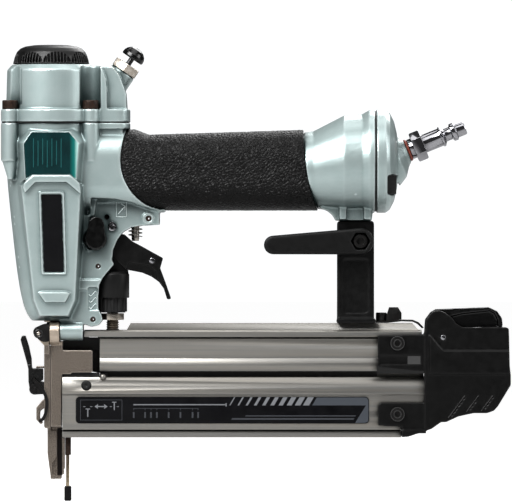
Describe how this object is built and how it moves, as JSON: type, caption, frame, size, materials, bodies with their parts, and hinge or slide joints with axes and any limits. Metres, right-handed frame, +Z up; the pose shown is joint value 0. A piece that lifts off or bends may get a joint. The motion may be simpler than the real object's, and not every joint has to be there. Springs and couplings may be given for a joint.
{
  "type": "brad nailer",
  "caption": "Pneumatic brad nailer: head casting with exhaust cap, gripped air handle, trigger, push-lever nose with jam door and a sliding strip magazine.",
  "frame": {"origin": "centre of the nail exit in the nose tip, on the driver's line", "axes": "+Z up the driver line to the head, +X back along the magazine and handle, +Y across the tool away from the labelled side"},
  "size_m": [0.2769, 0.0562, 0.2483],
  "materials": {
    "paint": "satin metallic silver-green",
    "black_plastic": "satin black",
    "grip_rubber": "crinkled black",
    "black_rubber": "matt",
    "black_steel": "black oxide",
    "chrome": "bright",
    "nose_steel": "fine grained nickel brown",
    "bare_steel": "ground",
    "aluminium": "brushed anodised",
    "label_film": "printed film",
    "teal_film": "printed film"
  },
  "bodies": {
    "housing": {"housing": "paint", "cylinder_cap": "paint", "cap_gasket": "black_rubber", "cap_bolts": "black_steel", "deflector_screw": "black_steel", "duster_bushing": "chrome", "head_valve_spring": "bare_steel", "cylinder_sleeve": "aluminium", "bumper": "black_rubber", "handle_grip": "grip_rubber", "end_cap": "paint", "end_cap_seal": "black_rubber", "end_cap_insert": "black_plastic", "air_plug": "chrome", "rear_bracket": "black_steel", "bracket_screws": "black_steel", "trigger_valve": "aluminium", "plunger_spring": "bare_steel", "cross_pins": "chrome", "dial_screw": "chrome", "nose_body": "nose_steel", "nose_bolts": "black_steel", "hinge_bracket": "black_steel", "adjuster_guard": "black_plastic", "contact_spring": "bare_steel", "arm_guide": "black_plastic", "magazine_rail": "aluminium", "catch_spring": "black_steel", "hook_bolt": "black_steel", "window_labels": "teal_film", "name_strips": "label_film"},
    "exhaust_cap": {"exhaust_deflector": "black_plastic"},
    "head_valve": {"head_valve": "black_plastic"},
    "piston": {"piston": "aluminium", "piston_ring": "bare_steel", "driver_blade": "bare_steel"},
    "duster": {"duster_button": "black_plastic"},
    "selector": {"selector_shaft": "black_plastic", "shaft_clip": "chrome"},
    "trigger": {"trigger": "black_plastic", "trigger_pin": "chrome"},
    "trigger_arm": {"trigger_arm": "black_steel"},
    "valve_plunger": {"valve_plunger": "bare_steel"},
    "contact_arm": {"contact_arm": "bare_steel", "no_mar_tip": "black_rubber", "adjuster_nut": "bare_steel"},
    "depth_adjuster": {"depth_adjuster": "black_plastic"},
    "nose_door": {"nose_door": "nose_steel", "latch_base": "black_steel"},
    "latch_lever": {"latch_lever": "black_plastic"},
    "latch_bail": {"latch_bail": "black_steel"},
    "magazine_slide": {"magazine_cover": "aluminium", "magazine_label": "label_film", "rear_cover": "black_plastic", "cover_screws": "black_steel", "release_pin": "chrome"},
    "release_lever": {"release_lever": "black_plastic"},
    "pusher": {"nail_pusher": "bare_steel", "feed_spring": "bare_steel"},
    "belt_hook": {"belt_hook": "black_rubber"}
  },
  "joints": [
    {"name": "exhaust_turn", "type": "hinge", "parent": "housing", "child": "exhaust_cap", "pos_m": [-0.002, 0, 0.23], "axis": [0, 0, 1], "continuous": true},
    {"name": "head_valve_lift", "type": "slide", "parent": "housing", "child": "head_valve", "axis": [0, 0, 1], "range_m": [0, 0.0035], "deforming": ["head_valve_spring"]},
    {"name": "piston_stroke", "type": "slide", "parent": "housing", "child": "piston", "axis": [0, 0, -1], "range_m": [0, 0.077]},
    {"name": "duster_press", "type": "slide", "parent": "housing", "child": "duster", "axis": [-0.5592, 0, -0.829], "range_m": [0, 0.0025]},
    {"name": "selector_turn", "type": "hinge", "parent": "housing", "child": "selector", "pos_m": [0.0225, 0, 0.1305], "axis": [0, 1, 0], "range_deg": [0, 90]},
    {"name": "trigger_pull", "type": "hinge", "parent": "housing", "child": "trigger", "pos_m": [0.0225, 0, 0.1305], "axis": [0, -1, 0], "range_deg": [0, 8]},
    {"name": "trigger_arm_tilt", "type": "hinge", "parent": "trigger", "child": "trigger_arm", "pos_m": [0.053, 0, 0.1189], "axis": [0, 1, 0], "range_deg": [0, 6]},
    {"name": "plunger_lift", "type": "slide", "parent": "housing", "child": "valve_plunger", "axis": [0, 0, 1], "range_m": [0, 0.0031], "deforming": ["plunger_spring"]},
    {"name": "contact_arm_push", "type": "slide", "parent": "housing", "child": "contact_arm", "axis": [0, 0, 1], "range_m": [0, 0.008], "deforming": ["contact_spring"]},
    {"name": "depth_turn", "type": "hinge", "parent": "contact_arm", "child": "depth_adjuster", "pos_m": [0.0315, 0, 0.095], "axis": [0, 0, 1], "continuous": true},
    {"name": "door_swing", "type": "hinge", "parent": "housing", "child": "nose_door", "pos_m": [-0.0084, 0, 0.0801], "axis": [0, 1, 0], "range_deg": [0, 60]},
    {"name": "latch_open", "type": "hinge", "parent": "nose_door", "child": "latch_lever", "pos_m": [-0.0108, 0, 0.0489], "axis": [0, -1, 0], "range_deg": [0, 100]},
    {"name": "bail_swing", "type": "hinge", "parent": "latch_lever", "child": "latch_bail", "pos_m": [-0.0112, 0, 0.054], "axis": [0, -1, 0], "range_deg": [-101, 1]},
    {"name": "magazine_slide", "type": "slide", "parent": "housing", "child": "magazine_slide", "axis": [1, 0, 0], "range_m": [0, 0.13]},
    {"name": "release_press", "type": "hinge", "parent": "magazine_slide", "child": "release_lever", "pos_m": [0.2112, 0, 0.0771], "axis": [0, 1, 0], "range_deg": [0, 8]},
    {"name": "pusher_feed", "type": "slide", "parent": "magazine_slide", "child": "pusher", "axis": [-1, 0, 0], "range_m": [-0.05, 0.103]},
    {"name": "hook_swing", "type": "hinge", "parent": "housing", "child": "belt_hook", "pos_m": [0.1664, 0, 0.1294], "axis": [0, 1, 0], "range_deg": [-58, 12]}
  ],
  "couplings": [
    {"joint": "plunger_lift", "follows": "trigger_pull", "m_per_rad": 0.0215},
    {"joint": "bail_swing", "follows": "latch_open", "ratio": -1}
  ]
}
